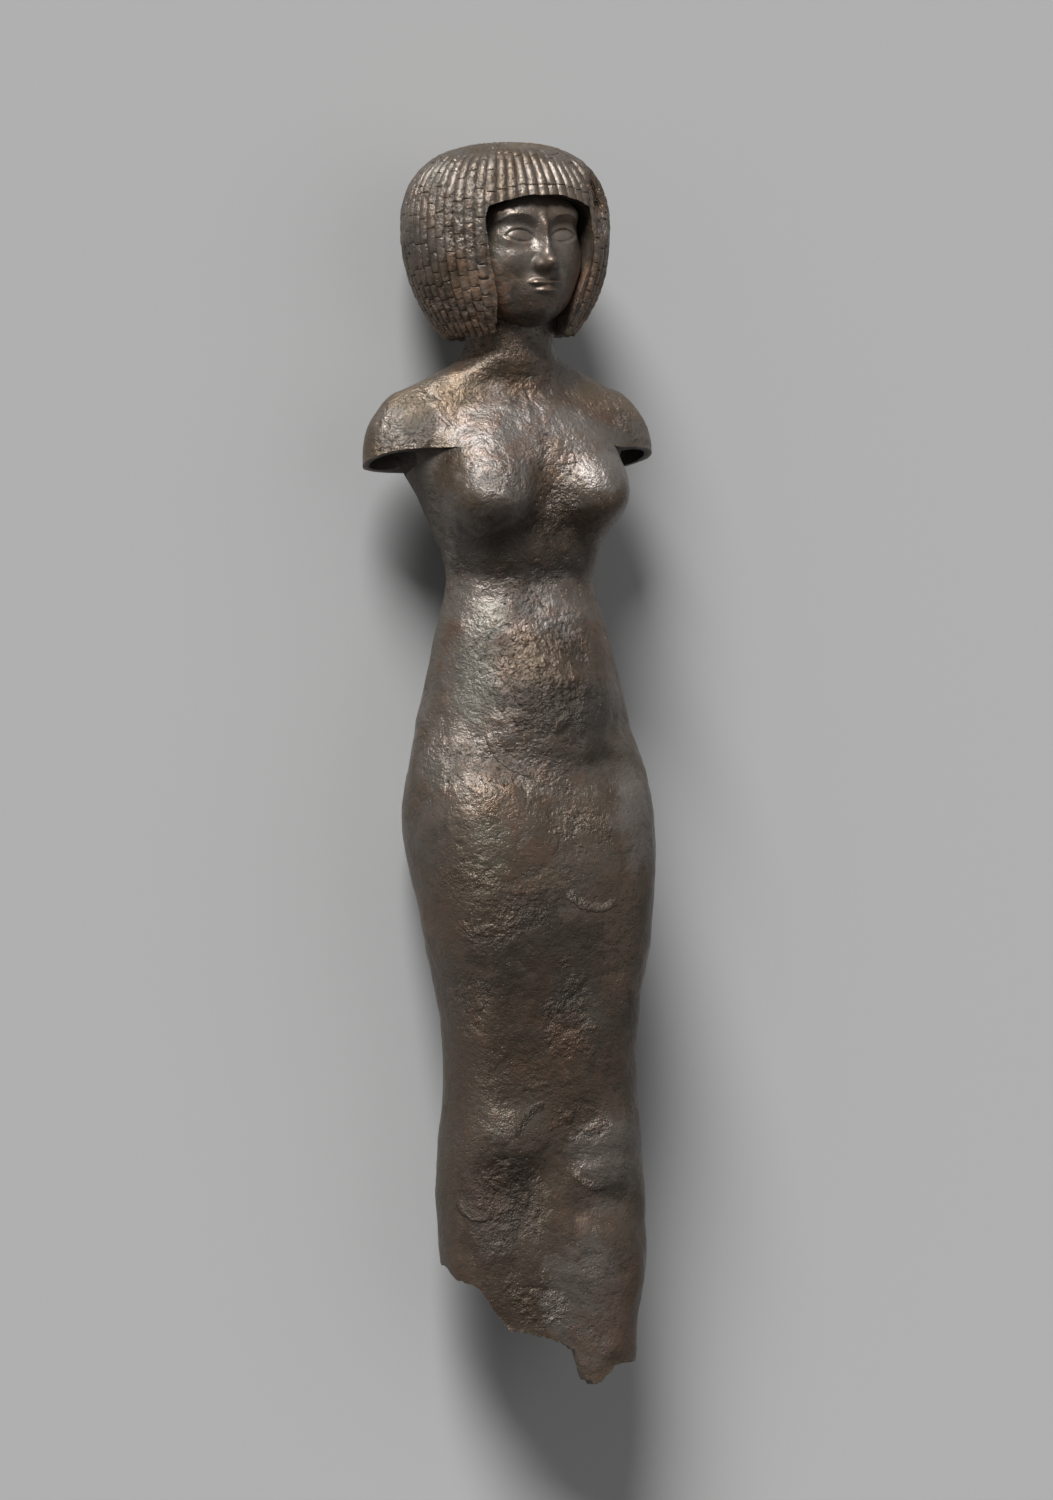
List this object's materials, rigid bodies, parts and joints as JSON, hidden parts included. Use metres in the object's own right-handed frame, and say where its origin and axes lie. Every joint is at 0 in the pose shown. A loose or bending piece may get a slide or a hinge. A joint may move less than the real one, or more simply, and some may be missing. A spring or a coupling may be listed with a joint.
{
  "type": "bronze statue fragment",
  "caption": "Hollow-cast bronze figure of a standing woman in a rounded wig and tight dress, broken off below the knees and at both upper arms, lying on its back.",
  "frame": {"origin": "centre of the bounding box at the level of the surface the figure lies on", "axes": "+Y up the body towards the head, +X towards the figure's own left arm, +Z from its back to its front"},
  "size_m": [0.1536, 0.5996, 0.0929],
  "materials": {
    "bronze": "worn dark brown patina, half gloss, pitted"
  },
  "bodies": {
    "root": {"bronze_figure": "bronze"}
  },
  "joints": []
}
